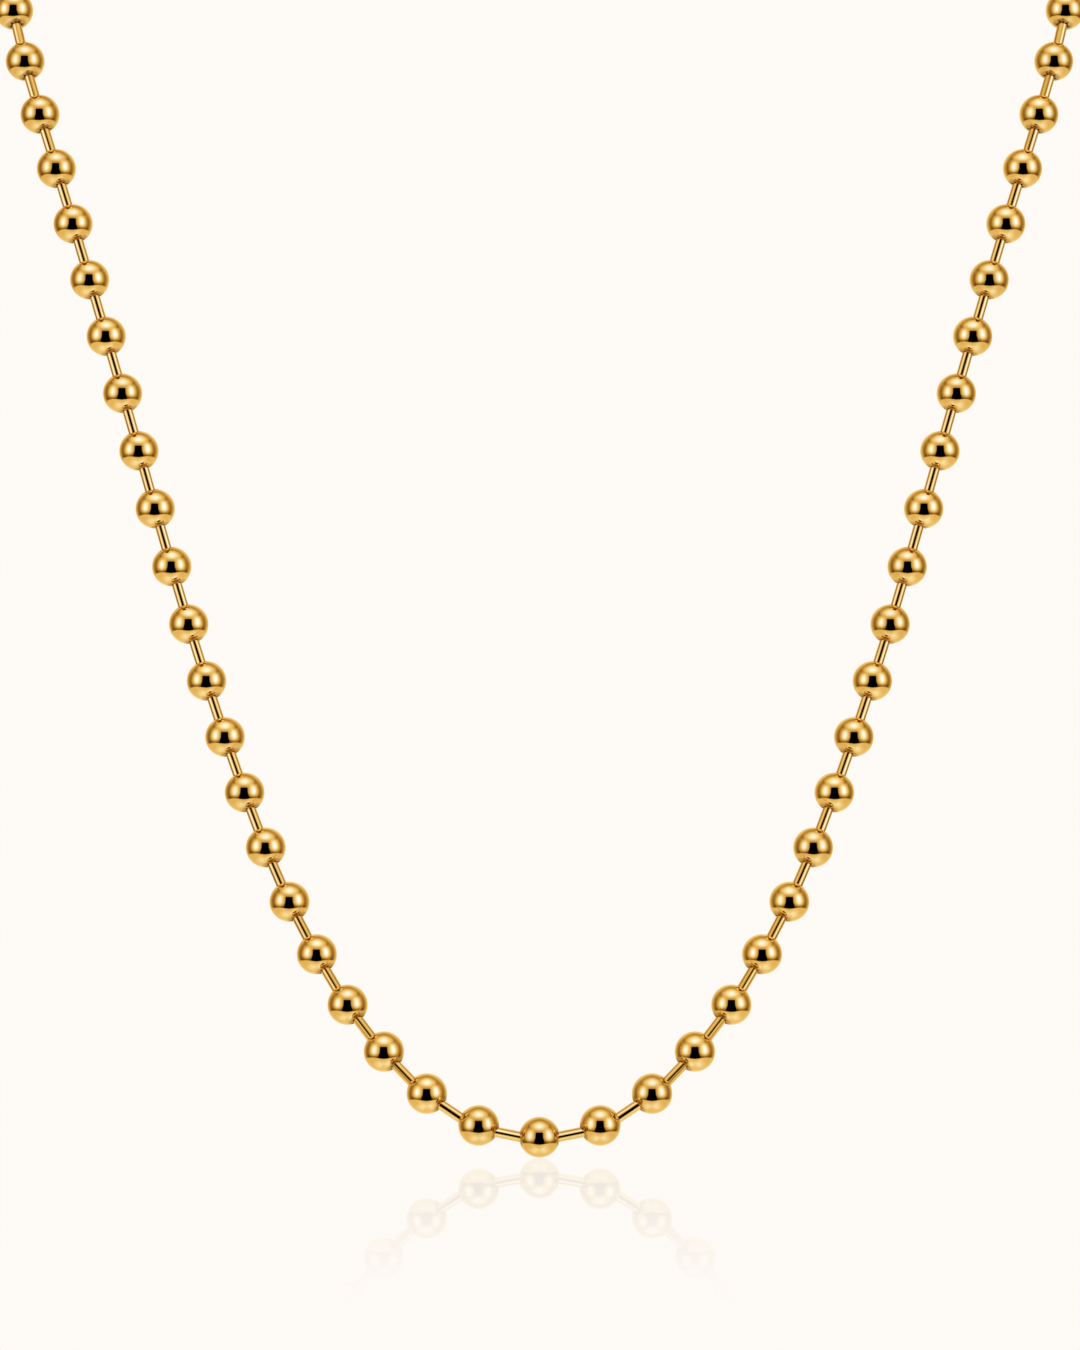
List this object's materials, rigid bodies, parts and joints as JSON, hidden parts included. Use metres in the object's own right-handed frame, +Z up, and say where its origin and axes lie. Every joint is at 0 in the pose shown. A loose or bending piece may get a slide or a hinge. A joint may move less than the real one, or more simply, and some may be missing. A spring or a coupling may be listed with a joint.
{
  "type": "ball chain necklace",
  "caption": "Worn loop of hollow polished balls joined by short bare links, closed at the nape by a plain barrel clasp.",
  "frame": {"origin": "the middle of the barrel clasp, where the loop hangs on the nape of a neck", "axes": "+Z up, -Y to the front, +X to the right for someone who looks at the front"},
  "size_m": [0.1148, 0.082, 0.1573],
  "materials": {
    "ball_gold": "mirror polished gold plate",
    "link_gold": "mirror polished gold plate",
    "clasp_gold": "polished gold plate"
  },
  "bodies": {
    "root": {"balls": "ball_gold", "links": "link_gold", "clasp": "clasp_gold"}
  },
  "joints": []
}
